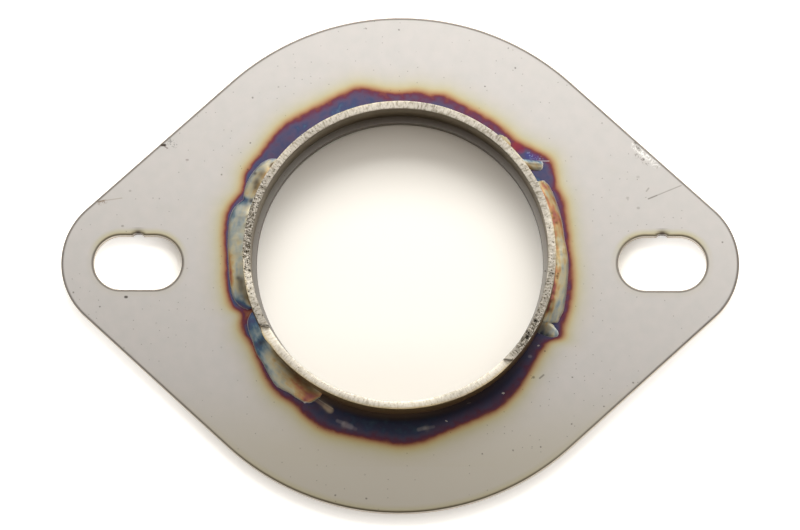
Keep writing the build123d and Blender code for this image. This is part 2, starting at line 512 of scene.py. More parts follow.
# A thin burr that widens the end at both ends of the lower cut: angle, millimetres
end_burr = [
    (0, 0.0), (200, 0.0), (208.5, 0.0), (210, 0.28), (217, 0.26), (226, 0.13), (236, 0.03), (255, 0.0),
    (275, 0.02), (287, 0.07), (298, 0.12), (306, 0.16), (311, 0.12), (315, 0.02), (330, 0.0),
]
# Deep holes in it, painted dark as their shade: angle, millimetres from the axis, size in millimetres
end_holes = [
    (333.5, 30.75, 0.30), (326.8, 30.95, 0.34), (328.2, 30.75, 0.26), (325.9, 31.2, 0.18),
    (352.6, 31.3, 0.20), (161.0, 31.2, 0.18), (186.5, 30.5, 0.22),
]


def step_angle(radius, side):
    """Where the line of the saw step crosses a circle round the tube, in degrees."""
    normal = math.degrees(saw_step_turn) - 90
    spread = math.degrees(math.acos(saw_step_distance / radius))
    return (normal + side * spread) % 360


def stub_profile(inner, outer, foot):
    """The stub's section from its foot inside, over the end, to its foot outside. Each row is a radius,
    then how far it lies over the sawn end, or else its height, all in millimetres."""
    rows = [(inner, None, height) for height in (foot, 2.6, 3.5, 5.5, 7.0)]
    rows += [(inner, -0.28, None), (inner + 0.02, -0.10, None), (inner + 0.09, -0.01, None)]
    rows += [(inner + share * (outer - inner), 0.0, None) for share in np.linspace(0.12, 0.88, 9)]
    rows += [(outer - 0.09, -0.01, None), (outer - 0.02, -0.10, None), (outer, -0.28, None)]
    rows += [(outer, None, height) for height in (8.0, 7.5, 7.0, 6.0, 5.0, 4.2, 3.4, 2.7, foot)]
    return rows


def sawn_height(angle, radius, over_end, share, pitted, low):
    """Heights along a row of the sawn end, in millimetres: two levels, rough where it is pitted, and
    worn round towards both edges of the wall."""
    level = stub_top / MM + over_end - low * saw_step_depth / MM
    rough = [
        noise.noise(Vector((radius * math.cos(a) * 1.6, radius * math.sin(a) * 1.6, 0)))
        for a in np.radians(angle)
    ]
    height = np.minimum(level + 0.05 * pitted * np.array(rough) - 0.02, stub_top / MM)
    return height - (0.012 + 0.048 * low) * (2 * share - 1) ** 2


def painted_step_and_hole_shade(angle, radius, left_step, right_step):
    """Painted shade along a row: the saw step's ragged left end and thin right end, and the deep holes."""
    ragged = 0.5 * noise.noise((radius * 2.5, 0, 7))
    marks = np.exp(-(((turn_between(angle, left_step) + 0.45 + ragged) / 0.40) ** 2))
    marks += np.exp(-(((turn_between(angle, right_step) - 0.15) / 0.16) ** 2))
    for at_angle, at_radius, size in end_holes:
        away = np.radians(turn_between(angle, at_angle)) * at_radius
        marks += 1.6 * soft_spot(away, radius - at_radius, size)
    return np.clip(marks, 0, 1)


def pipe_stub(wall, end):
    """The stub: a turned wall with a sawn end in two levels, pitted and burred where the saw ran rough."""
    inner, outer, foot = tube_inner_radius / MM, tube_radius / MM, plate_top / MM
    middle = (tube_radius + tube_inner_radius) / 2
    left_step, right_step = step_angle(middle, -1), step_angle(middle, 1)
    # Points every quarter of a degree, and two close together at each end of the step
    close = [step + gap for step in (left_step, right_step) for gap in (-0.03, 0.03)]
    base = np.sort(np.concatenate([np.arange(0, 360, 0.25) + 0.03, close]))
    low = (base > left_step) & (base < right_step)
    rows = stub_profile(inner, outer, foot)
    points, pits, bright, above_foot, across, step_and_hole_shade = [], [], [], [], [], []
    for radius, over_end, height in rows:
        share = (radius - inner) / (outer - inner)
        # Near the step the points turn a little, so that it runs in one straight line over the wall
        shift = np.zeros(len(base))
        for step, side in ((left_step, -1), (right_step, 1)):
            near = np.clip(1 - np.abs(turn_between(base, step)) / 7, 0, 1)
            shift += (step_angle(radius * MM, side) - step) * near
        angle = base + shift
        pitted = round_the_tube(end_pits, angle)
        if over_end is None:
            z = np.full(len(base), height)
        else:
            z = sawn_height(angle, radius, over_end, share, pitted, low)
        burr = np.maximum(round_the_tube(end_burr, angle), 0) * ramp(share, 0.4, 1.0) * ramp(z, 7.6, 8.3)
        points.append(on_tube(angle, (radius + burr) * MM, z * MM))
        pits.append(pitted)
        bright.append(round_the_tube(end_bright, angle))
        above_foot.append(z - foot)
        across.append(np.full(len(base), share))
        step_and_hole_shade.append(painted_step_and_hole_shade(base, radius, left_step, right_step))
    count = len(base)
    points = np.concatenate(points)
    faces = [quad[::-1] for quad in strips(0, len(rows), count)]
    last = (len(rows) - 1) * count
    faces += [(i, last + i, last + (i + 1) % count, (i + 1) % count) for i in range(count)]
    end_rows = [i for i, row in enumerate(rows) if row[1] is not None]
    is_end = [end_rows[0] < k // count < end_rows[-1] - 1 for k in range(len(faces))]
    height = np.concatenate(above_foot)
    angle = np.degrees(np.arctan2(points[:, 1] - tube_y, points[:, 0]))
    outside = np.repeat([row[0] > middle / MM for row in rows], count)
    temper_outside = 0.72 - 0.22 * ramp(height, 0.5, 5.5)
    temper_inside = 0.12 * (1 - ramp(height, 0.0, 6.0))
    attributes = {
        "temper": np.where(outside, temper_outside, temper_inside),
        "soot_and_shade": np.where(outside, 0.15, 0.45 * ramp(height, 5.4, 6.7)),
        "scale_and_shade": np.where(outside, round_the_tube(tube_scale, angle), 0.0),
        "pitted": np.concatenate(pits),
        "bright": np.concatenate(bright),
        "across": np.concatenate(across),
        "step_and_hole_shade": np.concatenate(step_and_hole_shade),
    }
    piece("sawn_stub", points, faces, [wall, end], "pipe_stub", attributes, is_end)


# Rows of points over a bead, and degrees between its sections
bead_rows = 30
bead_step = 0.18
# Ripples that the torch left along a bead, in millimetres
ripple_pitch = 1.2
ripple_height = 0.0025
# How far a bead's foot is sunk in the plate and the tube
sunk = 0.02 * MM
# A painted highlight along a bead's toe: its strength, and where it thins out, in millimetres
toe_highlight_strength = 0.60
toe_highlight_full = 0.06
toe_highlight_gone = 0.24


def dark_spots(spots, angles, offsets):
    """Round dark spots on a bead, of soot, and of painted shade where they run along the tube's foot:
    angle, millimetres off the tube, size in millimetres, strength.
    """
    dark = np.zeros(np.broadcast(angles, offsets).shape)
    for at_angle, at_offset, size, strength in spots:
        along = np.radians(angles - at_angle) * (tube_radius / MM + at_offset)
        dark += strength * soft_spot(along, offsets - at_offset, size)
    return np.clip(dark, 0, 0.9)


def weld_bead(
    name, node, metal, reach, climb, tints, spots, streaks, fullness=1.5, heave=0.07, lean=0.0
):
    """A bead in the corner between tube and plate, with a rolled toe, ripples and a lumpy crown.

    reach is how far its toe lies from the tube and climb how high it stands on it, both as stations of
    angle and millimetres. tints are stations of angle and the temper at toe, outside, inside and root.
    fullness is 1 for a flat slope, 2 for a round one. heave is how far its lumps stand up, in
    millimetres. lean is how many degrees it turns for each millimetre away from the tube. streaks is
    how far the temper wavers in lines along it.
    """
    start, end = reach[0][0], reach[-1][0]
    angles = np.linspace(start, end, max(40, int((end - start) / bead_step)))
    out, up = np.maximum(through(reach, angles), 0), np.maximum(through(climb, angles), 0)
    share = 1 - (1 - np.linspace(0, 1, bead_rows)) ** 1.3
    across = np.cos(share * math.pi / 2) ** (2 / fullness)
    rise = np.sin(share * math.pi / 2) ** (2 / fullness)
    along = np.radians(angles) * tube_radius / MM
    lumps = np.array([
        [
            noise.noise((a * 0.7, 2.2 * s, start)) + 0.4 * noise.noise((a * 1.9, 5.0 * s, start))
            for s in share
        ]
        for a in along
    ])
    wave = np.sin(2 * math.pi * (along[:, None] + 0.9 * (share - 0.5) ** 2) / ripple_pitch + 3 * lumps)
    body = np.sin(share * math.pi) ** 0.7 * np.minimum(1, out / 2.5)[:, None]
    swell = body * (heave * lumps + ripple_height * wave)
    offset = out[:, None] * across + swell * 0.6
    height = np.maximum(up[:, None] * rise + swell, 0)
    bead = on_tube(angles[:, None] + lean * offset, tube_radius + offset * MM, plate_top + height * MM)
    foot = on_tube(angles, tube_radius - sunk, plate_top - sunk)
    bead[:, 0, 2] = plate_top - sunk
    grid = np.concatenate([foot[:, None], bead], axis=1)
    count, loop = len(angles), bead_rows + 1
    faces = strips(0, count, loop)
    faces += [tuple(range(loop)), tuple(range(count * loop - 1, (count - 1) * loop - 1, -1))]
    columns = np.array([through([(row[0], row[1 + k]) for row in tints], angles) for k in range(4)])
    temper = np.array([np.interp(share, [0.0, 0.25, 0.6, 1.0], columns[:, i]) for i in range(count)])
    temper += streaks * 2 * np.array([
        [noise.noise((a * 0.5, o * 2.2, start + 5)) for o in row] for a, row in zip(along, offset)
    ])
    soot_and_shade = dark_spots(spots, angles[:, None], offset)
    # A painted highlight along the toe
    toe = toe_highlight_strength * (1 - ramp(out[:, None] - offset, toe_highlight_full, toe_highlight_gone))
    fields = {"temper": temper, "soot_and_shade": soot_and_shade, "toe": toe}
    attributes = {
        title: np.concatenate([field[:, :1], field], axis=1).ravel()
        for title, field in fields.items()
    }
    piece(name, grid.reshape(-1, 3), faces, [metal], node, attributes)


# The lump's middle in degrees, and half its width, how proud it stands and its height in millimetres
lump_angle = 47.9
lump_half_width = 1.6
lump_proud = 0.62
lump_height = 3.2


def weld_lump(metal):
    """The lump of weld metal high on the tube's outside, sawn off level with its end."""
    rows, count = 12, 24
    points = []
    for row in range(rows):
        drop = row / (rows - 1)
        size = math.sqrt(max(0.0, 1 - drop**2))
        for k in range(count):
            turn = math.pi * k / (count - 1)
            away = lump_half_width * size * math.cos(turn)
            uneven = 1 + 0.45 * noise.noise((k * 0.55, drop * 5, 3.3))
            proud = lump_proud * size * math.sin(turn) ** 0.8 * uneven
            angle = lump_angle + math.degrees(away / (tube_radius / MM))
            height = stub_top - (0.03 + lump_height * drop) * MM
            points.append(on_tube(angle, tube_radius + proud * MM - sunk, height))
    faces = [quad[::-1] for quad in strips(0, rows, count)]
    faces += [tuple(range(count))]
    points = np.array(points).reshape(-1, 3)
    temper = np.array([1.48 + 0.30 * noise.noise(Vector(p) / (0.9 * MM)) for p in points])
    stain = np.array([noise.noise(Vector(p) / (0.5 * MM)) for p in points])
    attributes = {"temper": temper, "soot_and_shade": 0.15 + 0.5 * ramp(stain, 0.0, 0.5), "toe": temper * 0}
    piece("sawn_weld_lump", points, faces, [metal], "weld_lump", attributes)


def stained(tree, colour, title, stain):
    """The colour with a stain over it, as thick as the mesh's attribute of that title says."""
    thickness = add(tree, "Attribute", attribute_name=title).outputs["Fac"]
    mixed = add(tree, "Mix", {0: thickness, 6: colour, 7: linear(stain)}, data_type="RGBA")
    return mixed.outputs[2]


def fade(tree, first, second, value, low, high):
    """The first colour where the value is low, the second where it is high, a smooth fade between."""
    share = add(
        tree,
        "MapRange",
        {"Value": value, "From Min": low, "From Max": high},
        interpolation_type="SMOOTHSTEP",
    )
    mixed = add(tree, "Mix", {0: share, 6: first, 7: second}, data_type="RGBA")
    return mixed.outputs[2]


def marked(tree, colour, where, strength, mark):
    """The colour with a mark over it, as strong as given in the middle of where it lies."""
    share = add(tree, "Math", {0: where, 1: strength}, operation="MULTIPLY")
    mixed = add(tree, "Mix", {0: share, 6: colour, 7: linear(mark)}, data_type="RGBA")
    return mixed.outputs[2]


def heat_tinted(tree, steel, wander, soot_and_shade_colour):
    """The steel's colour under the oxide tint of its temper, with soot and painted shade in it. The temper
    strays by up to half of wander, most where it is high, so that the bands have uneven edges."""
    place = add(tree, "TexCoord").outputs["Object"]
    temper = add(tree, "Attribute", attribute_name="temper").outputs["Fac"]
    drift = add(tree, "TexNoise", {"Vector": place, "Scale": 1 / (1.7 * MM), "Detail": 4.0})
    off = add(tree, "Math", {0: drift, 1: 0.5}, operation="SUBTRACT")
    uneven = add(
        tree,
        "MapRange",
        {"Value": temper, "From Min": 0.65, "From Max": 1.0, "To Min": 0.12, "To Max": 1.0},
    )
    strength = add(tree, "Math", {0: uneven, 1: wander}, operation="MULTIPLY")
    moved = add(tree, "Math", {0: off, 1: strength, 2: temper}, operation="MULTIPLY_ADD")
    share = add(tree, "Math", {0: moved, 1: temper_end}, operation="DIVIDE")
    order = add(tree, "ValToRGB", {"Fac": share})
    marks = order.color_ramp.elements
    while len(marks) < len(temper_order):
        marks.new(1.0)
    for mark, (step, hex_colour) in zip(marks, temper_order):
        mark.position = step / temper_end
        mark.color = linear(hex_colour)
    tint = stained(tree, order.outputs["Color"], "soot_and_shade", soot_and_shade_colour)
    tinted = add(tree, "Mix", {0: 1.0, 6: steel, 7: tint}, data_type="RGBA", blend_type="MULTIPLY")
    return tinted.outputs[2]


def near_line(tree, place, start, end, width):
    """1 on a straight scratch between two points given in millimetres on the plate's face, 0 off it."""
    a, b = (Vector((x, y, 0)) * MM for x, y in (start, end))
    heading = (b - a).normalized()
    off = add(tree, "VectorMath", {0: place, 1: (a.x, a.y, plate_top)}, operation="SUBTRACT")
    along = add(tree, "VectorMath", {0: off, 1: heading}, operation="DOT_PRODUCT")
    kept = add(tree, "Clamp", {"Value": along.outputs["Value"], "Min": 0.0, "Max": (b - a).length})
    foot = add(tree, "VectorMath", {0: heading, "Scale": kept}, operation="SCALE")
    away = add(tree, "VectorMath", {0: off, 1: foot}, operation="DISTANCE")
    off_middle = away.outputs["Value"]
    inner, outer = width * 0.3 * MM, width * 0.7 * MM
    return add(
        tree,
        "MapRange",
        {"Value": off_middle, "From Min": inner, "From Max": outer, "To Min": 1.0, "To Max": 0.0},
    )


def specks(tree, place, cell, size, share):
    """Grit specks in drifts, over about a share of the cells of a loose flat grid. cell and size are
    in millimetres."""
    wobble = add(tree, "TexNoise", {"Vector": place, "Scale": 1 / (0.25 * MM)})
    bent = add(
        tree,
        "VectorMath",
        {0: wobble.outputs["Color"], 1: (size * 0.7 * MM,) * 3, 2: place},
        operation="MULTIPLY_ADD",
    )
    cells = add(tree, "TexVoronoi", {"Vector": bent, "Scale": 1 / (cell * MM)}, voronoi_dimensions="2D")
    inner, outer = 0.3 * size / cell, 0.6 * size / cell
    off_middle = cells.outputs["Distance"]
    near = add(
        tree,
        "MapRange",
        {"Value": off_middle, "From Min": inner, "From Max": outer, "To Min": 1.0, "To Max": 0.0},
    )
    chance = add(tree, "SeparateColor", {0: cells.outputs["Color"]})
    drift = add(tree, "TexNoise", {"Vector": place, "Scale": 1 / (14 * MM)})
    luck = add(tree, "Math", {0: drift, 1: share * 5, 2: chance}, operation="MULTIPLY_ADD")
    return add(
        tree,
        "MapRange",
        {"Value": luck, "From Min": 1 + share * 1.5, "From Max": 1 + share * 2.0, "To Max": near},
        interpolation_type="SMOOTHSTEP",
    )


def new_metal(name):
    """A new material with a metal shader, then its node tree, its shader and the place on the piece."""
    made = bpy.data.materials.new(name)
    made.use_nodes = True
    tree = made.node_tree
    shader = tree.nodes["Principled BSDF"]
    shader.inputs["Metallic"].default_value = 1.0
    return made, tree, shader, add(tree, "TexCoord").outputs["Object"]


def scaled_over(tree, shader, colour, scale_colour):
    """Gives the shader its colour with brown scale over it, which on the ledge inside the tube is
    painted shade, and takes its metal shine where that lies.
    """
    scale_and_shade = add(tree, "Attribute", attribute_name="scale_and_shade").outputs["Fac"]
    mixed = add(tree, "Mix", {0: scale_and_shade, 6: colour, 7: linear(scale_colour)}, data_type="RGBA")
    bare = add(tree, "Math", {0: scale_and_shade, 1: -0.9, 2: 1.0}, operation="MULTIPLY_ADD")
    set_inputs(tree, shader, {"Base Color": mixed.outputs[2], "Metallic": bare})


# Scratches, scuffs and stains on the plate's face: start, end and width in millimetres, strength and
# colour. In a mark that is broken up, only the specks where a fine noise is over the last value show.
plate_marks = [
    # The long scratch on the right ear, darker at its left end
    ((50.70, 13.40), (57.40, 16.20), 0.22, 0.45, "#6E675C", 0.0),
    ((50.70, 13.40), (52.40, 14.10), 0.30, 0.35, "#5E574C", 0.0),
    # The bright scuff at the upper right edge, with dark crumbs in it
    ((47.80, 24.50), (49.40, 22.90), 1.20, 0.75, "#FBFAF6", 0.48),
    ((49.40, 22.90), (50.60, 21.90), 1.20, 0.70, "#FBFAF6", 0.43),
    ((50.60, 21.90), (52.30, 20.60), 1.50, 0.75, "#FBFAF6", 0.50),
    ((48.00, 25.00), (48.90, 23.60), 0.60, 0.70, "#5A5348", 0.50),
    ((48.50, 22.40), (50.40, 21.00), 1.20, 0.55, "#6E675C", 0.54),
    ((49.70, 21.70), (49.85, 21.70), 0.30, 0.70, "#4A443A", 0.0),
    # Loose grey specks on the right ear
    ((52.40, 20.00), (52.55, 20.00), 0.50, 0.35, "#8A8478", 0.0),
    ((50.30, 15.00), (50.75, 15.60), 0.32, 0.40, "#6E675C", 0.0),
    ((46.40, 13.57), (46.50, 13.57), 0.50, 0.30, "#6E675C", 0.0),
    ((48.55, 11.48), (48.70, 11.48), 0.50, 0.35, "#6E675C", 0.0),
    ((48.50, 17.95), (48.70, 17.95), 0.50, 0.22, "#6E675C", 0.0),
    # The scratch at the left ear's upper edge, with brown dirt at its left end
    ((-61.70, 12.66), (-56.90, 13.40), 0.20, 0.35, "#8A7458", 0.0),
    ((-61.80, 12.60), (-60.70, 12.80), 0.34, 0.50, "#6E5238", 0.0),
    ((-61.40, 12.30), (-60.30, 12.70), 0.80, 0.45, "#7A6244", 0.44),
    # The dark spot at the upper left edge, and the grey scuff beside it
    ((-48.95, 24.50), (-48.25, 24.50), 0.50, 0.95, "#33241C", 0.0),
    ((-48.20, 24.20), (-47.60, 23.60), 0.40, 0.60, "#5A3E34", 0.46),
    ((-47.30, 25.20), (-46.30, 24.60), 1.30, 0.55, "#6F706C", 0.50),
    # Loose grey and dark specks on the left of the plate
    ((-43.80, 21.40), (-43.50, 21.40), 0.34, 0.50, "#6E5A52", 0.0),
    ((-56.75, 7.56), (-56.60, 7.56), 0.42, 0.50, "#6E675C", 0.0),
    ((-55.30, 14.90), (-55.20, 14.90), 0.42, 0.35, "#6E675C", 0.0),
    ((-55.85, -7.20), (-55.60, -7.20), 0.50, 0.85, "#3A332A", 0.0),
    # Dark specks at the lower right
    ((28.50, -23.79), (29.27, -23.13), 0.36, 0.50, "#4A4238", 0.0),
    ((27.18, -23.61), (27.26, -23.61), 0.50, 0.55, "#4A4238", 0.0),
    # Pale specks in the tint from the right round to the bottom, and a thin line at the upper right
    ((26.42, -19.31), (26.62, -19.31), 0.60, 0.22, "#B9B4BE", 0.0),
    ((26.94, 21.27), (30.42, 21.27), 0.18, 0.60, "#C9C2C4", 0.0),
    ((28.14, -17.10), (28.32, -17.05), 0.26, 0.75, "#B9B4AE", 0.0),
    ((20.90, -26.89), (21.30, -26.87), 0.22, 0.75, "#B9B4AE", 0.0),
    ((21.06, -26.72), (21.12, -27.05), 0.16, 0.60, "#B9B4AE", 0.0),
    ((9.45, -32.55), (9.75, -32.70), 0.20, 0.75, "#B9B4AE", 0.0),
    ((13.85, -28.98), (14.45, -28.86), 0.16, 0.40, "#A09A94", 0.0),
    # Pale grey smears over the tint at the bottom
    ((4.00, -34.40), (5.20, -34.05), 0.75, 0.26, "#A09A98", 0.0),
    ((5.10, -34.20), (7.00, -33.80), 0.60, 0.16, "#A09A98", 0.0),
    ((-12.45, -32.63), (-11.33, -33.08), 0.70, 0.24, "#A09A9C", 0.0),
    ((-11.13, -33.35), (-9.80, -33.85), 1.10, 0.30, "#A0969A", 0.0),
    ((-10.30, -33.70), (-8.79, -34.30), 0.70, 0.16, "#A0969A", 0.0),
    # Red, violet and pale blue patches in the tint at the upper right
    ((23.70, 24.60), (24.70, 23.60), 1.50, 0.38, "#96203E", 0.0),
    ((26.20, 22.40), (27.70, 21.90), 1.30, 0.30, "#4A3CA0", 0.0),
    ((26.30, 22.60), (28.60, 21.60), 1.10, 0.45, "#9FB4D8", 0.56),
    # The pale brown tail of the lower left bead, and a painted highlight along the bead's toe round its end
    ((-16.84, -28.48), (-13.99, -30.38), 0.55, 0.40, "#A88F7C", 0.0),
    ((-14.75, -29.75), (-13.90, -30.45), 1.20, 0.50, "#BCA98E", 0.0),
    ((-16.50, -28.15), (-13.45, -30.15), 0.20, 0.45, "#C9BCA8", 0.0),
    ((-22.1, -26.4), (-19.15, -28.95), 0.16, 0.75, "#D8D2CC", 0.0),
    ((-19.15, -28.95), (-17.2, -28.55), 0.16, 0.75, "#D8D2CC", 0.0),
    ((-17.2, -28.55), (-17.0, -27.0), 0.16, 0.70, "#D8D2CC", 0.0),
]
# Where along Y the painted shade over the front of the plate starts, and where it is full
front_shade_starts = -22 * MM
front_shade_full = -42 * MM
# Two kinds of grit on the face: size of a cell and of a speck in millimetres, share of cells, strength
grit_kinds = [(1.8, 0.22, 0.20, 0.48), (6.0, 0.40, 0.19, 0.6)]
# The laser's burnt line, on the face and on the wall
burnt_line = "#5E554C"


def mill_finish_stainless():
    """Cold-rolled stainless sheet with a mill finish: a soft satin grey that smears the lamp's reflection
    into a slow gradient, a few dark handling specks, and the oxide tints of the weld."""
    made, tree, shader, place = new_metal("mill_finish_stainless")
    mottle = add(tree, "TexNoise", {"Vector": place, "Scale": 1 / (2.5 * MM), "Detail": 5.0})
    steel = add(tree, "Mix", {0: mottle, 6: linear("#D1CCC9"), 7: linear("#C5C4C1")}, data_type="RGBA")
    # Painted shade: the steel turns a darker, yellower grey towards the front of the plate
    to_the_back = add(tree, "SeparateXYZ", {0: place}).outputs["Y"]
    steel = fade(tree, steel.outputs[2], linear("#C8C3B7"), to_the_back, front_shade_starts, front_shade_full)
    colour = heat_tinted(tree, steel, 0.55, "#34384C")
    colour = stained(tree, colour, "smear", "#A89C8A")
    for cell, size, share, strength in grit_kinds:
        colour = marked(tree, colour, specks(tree, place, cell, size, share), strength, "#4E473E")
    crumbs = add(tree, "TexNoise", {"Vector": place, "Scale": 1 / (0.30 * MM), "Detail": 2.0})
    for start, end, width, strength, mark, broken in plate_marks:
        line = near_line(tree, place, start, end, width)
        if broken:
            line = add(
                tree,
                "MapRange",
                {"Value": crumbs, "From Min": broken, "From Max": broken + 0.06, "To Max": line},
                interpolation_type="SMOOTHSTEP",
            )
        colour = marked(tree, colour, line, strength, mark)
    colour = stained(tree, colour, "burnt", burnt_line)
    scaled_over(tree, shader, colour, "#665444")
    # The mill's grain is some hundredths of a millimetre, too fine to show, so it is drawn as 0.25
    grain = add(tree, "TexNoise", {"Vector": place, "Scale": 1 / (0.25 * MM), "Detail": 2.0})
    bump = add(tree, "Bump", {"Height": grain, "Strength": 0.05, "Distance": 0.02 * MM})
    set_inputs(tree, shader, {"Roughness": 0.38, "Normal": bump})
    return made


def laser_cut_wall():
    """The wall that the laser left: fine upright striae and a thin straw oxide, brighter than the face
    where it mirrors the table."""
    made, tree, shader, place = new_metal("laser_cut_wall")
    upright = add(tree, "Mapping", {"Vector": place, "Scale": (1.0, 1.0, 0.12)})
    striae = add(tree, "TexNoise", {"Vector": upright, "Scale": 1 / (0.22 * MM)})
    steel = add(tree, "Mix", {0: striae, 6: linear("#DDD6CB"), 7: linear("#BEB4A6")}, data_type="RGBA")
    colour = stained(tree, steel.outputs[2], "burnt", burnt_line)
    # Soot, and painted shade on the bore's wall under the tube
    colour = stained(tree, colour, "soot_and_shade", "#4A4238")
    bump = add(tree, "Bump", {"Height": striae, "Strength": 0.5, "Distance": 0.05 * MM})
    set_inputs(tree, shader, {"Base Color": colour, "Roughness": 0.38, "Normal": bump})
    return made


def welded_tube_steel():
    """Exhaust tube steel: satin, a little duller than the sheet, with faint lines round it from drawing and
    dark stains, and the weld's tint climbing its outside."""
    made, tree, shader, place = new_metal("welded_tube_steel")
    drawn = add(tree, "Mapping", {"Vector": place, "Scale": (1.0, 1.0, 9.0)})
    lines = add(tree, "TexNoise", {"Vector": drawn, "Scale": 1 / (4.0 * MM), "Detail": 5.0})
    steel = fade(tree, linear("#9A8E78"), linear("#7E725E"), lines, 0.30, 0.70)
    stains = add(tree, "TexNoise", {"Vector": drawn, "Scale": 1 / (2.2 * MM), "Detail": 3.0})
    steel = fade(tree, steel, linear("#4A4338"), stains, 0.56, 0.74)
    scaled_over(tree, shader, heat_tinted(tree, steel, 0.4, "#5A4A38"), "#624E32")
    bump = add(tree, "Bump", {"Height": lines, "Strength": 0.25, "Distance": 0.05 * MM})
    set_inputs(tree, shader, {"Roughness": 0.38, "Normal": bump})
    return made


def saw_marks(tree, place):
    """A noise drawn out into short lines across the tube's wall, as a saw and a grinder leave them."""
    from_axis = add(tree, "VectorMath", {0: place, 1: (0, tube_y, 0)}, operation="SUBTRACT")
    flat = add(tree, "VectorMath", {0: from_axis, 1: (1, 1, 0)}, operation="MULTIPLY")
    heading = add(tree, "VectorMath", {0: flat}, operation="NORMALIZE")
    round_it = add(tree, "VectorMath", {0: heading, "Scale": tube_radius}, operation="SCALE")
    drawn = add(tree, "VectorMath", {0: flat, 1: (0.6, 0.6, 0.6), 2: round_it}, operation="MULTIPLY_ADD")
    return add(tree, "TexNoise", {"Vector": drawn, "Scale": 1 / (0.62 * MM), "Detail": 4.0})


def torn_pits(tree, place, pitted):
    """Crumbled pits along the thin lines where a noise crosses its middle value, with loose holes. The
    more the end is pitted, the wider both are."""
    lines = add(tree, "TexNoise", {"Vector": place, "Scale": 1 / (0.80 * MM), "Detail": 3.0})
    off = add(tree, "Math", {0: lines, 1: 0.5}, operation="SUBTRACT")
    away = add(tree, "Math", {0: off}, operation="ABSOLUTE")
    width = add(tree, "Math", {0: pitted, 1: 0.048, 2: -0.014}, operation="MULTIPLY_ADD")
    in_line = add(tree, "Math", {0: width, 1: away}, operation="SUBTRACT")
    holes = add(tree, "TexNoise", {"Vector": place, "Scale": 1 / (0.36 * MM), "Detail": 3.0})
    level = add(tree, "Math", {0: pitted, 1: 0.17, 2: 0.29}, operation="MULTIPLY_ADD")
    in_hole = add(tree, "Math", {0: level, 1: holes}, operation="SUBTRACT")
    torn = [
        add(
            tree,
            "MapRange",
            {"Value": inside, "From Min": 0.0, "From Max": soft},
            interpolation_type="SMOOTHSTEP",
        )
        for inside, soft in ((in_line, 0.03), (in_hole, 0.05))
    ]
    return add(tree, "Math", {0: torn[0], 1: torn[1]}, operation="MAXIMUM")


def sawn_steel_end():
    """The tube's end, sawn and roughly ground: bare metal with fine bright and dark marks across the wall,
    cleaner where the second cut ran, dark crumbling pits where the blade tore, and painted shade along
    the saw step and in the deep holes."""
    made, tree, shader, place = new_metal("sawn_steel_end")
    pitted = add(tree, "Attribute", attribute_name="pitted").outputs["Fac"]
    bright = add(tree, "Attribute", attribute_name="bright").outputs["Fac"]
    across = add(tree, "Attribute", attribute_name="across").outputs["Fac"]
    step_and_hole_shade = add(tree, "Attribute", attribute_name="step_and_hole_shade").outputs["Fac"]
    marks = saw_marks(tree, place)
    grain = add(tree, "TexNoise", {"Vector": place, "Scale": 1 / (0.90 * MM), "Detail": 5.0})
    clean = add(tree, "Mix", {0: bright, 6: linear("#BDB7AC"), 7: linear("#F2ECDF")}, data_type="RGBA")
    worn = add(tree, "Mix", {0: bright, 6: linear("#827B6D"), 7: linear("#DCD3BE")}, data_type="RGBA")
    colour = fade(tree, clean.outputs[2], worn.outputs[2], marks, 0.42, 0.72)
    colour = fade(tree, colour, worn.outputs[2], grain, 0.50, 0.75)
    # A straw tint along the outer edge where the end is bright, from the heat of the cut
    straw = add(
        tree,
        "MapRange",
        {"Value": across, "From Min": 0.65, "From Max": 1.1, "To Max": bright},
        interpolation_type="SMOOTHSTEP",
    )
    # Painted shade at the saw step and in the deep holes, broken up by the grain
    torn = add(
        tree,
        "MapRange",
        {"Value": grain, "From Min": 0.33, "From Max": 0.45, "To Max": step_and_hole_shade},
        interpolation_type="SMOOTHSTEP",
    )
    pit = torn_pits(tree, place, pitted)
    for where, mark in ((straw, "#DAC48A"), (pit, "#4E4739"), (torn, "#2C2822")):
        mixed = add(tree, "Mix", {0: where, 6: colour, 7: linear(mark)}, data_type="RGBA")
        colour = mixed.outputs[2]
    hollow = add(tree, "Math", {0: pit, 1: -1.5, 2: marks}, operation="MULTIPLY_ADD")
    rough = add(tree, "Math", {0: bright, 1: -0.75, 2: 0.8}, operation="MULTIPLY_ADD")
    bump = add(tree, "Bump", {"Height": hollow, "Strength": rough, "Distance": 0.06 * MM})
    set_inputs(tree, shader, {"Base Color": colour, "Roughness": 0.55, "Normal": bump})
    return made


def tempered_weld_metal():
    """Weld metal as it froze: satin under its thick oxide, in the pale second round of tints, with a
    painted highlight along its toe."""
    made, tree, shader, place = new_metal("tempered_weld_metal")
    colour = heat_tinted(tree, linear("#DCD7CE"), 0.45, "#4A3A30")
    # A painted highlight along the toe
    colour = stained(tree, colour, "toe", "#E2DCD4")
    skin = add(tree, "TexNoise", {"Vector": place, "Scale": 1 / (0.6 * MM), "Detail": 3.0})
    bump = add(tree, "Bump", {"Height": skin, "Strength": 0.25, "Distance": 0.05 * MM})
    set_inputs(tree, shader, {"Base Color": colour, "Roughness": 0.54, "Normal": bump})
    return made


# Half the table's width, and how far its top lies under the plate's back, so that they don't touch
table_half = 3.0
table_drop = 0.03 * MM
# The table's own light, by distance from the bore's centre: where it starts, where it is full, its level.
# Beside the part it is painted light that washes out the part's shadow on the table
painted_light_beside_part = (42 * MM, 56 * MM, 0.5)
glow_far_out = (0.12, 0.7, 0.5)
# The same through the bore, along Y from its back edge and from its front edge: painted light that
# lightens the part's shadow on the table inside the bore
painted_light_in_bore_level = 0.08
painted_light_in_bore_edges = [(25 * MM, 6 * MM), (-28 * MM, -10 * MM)]


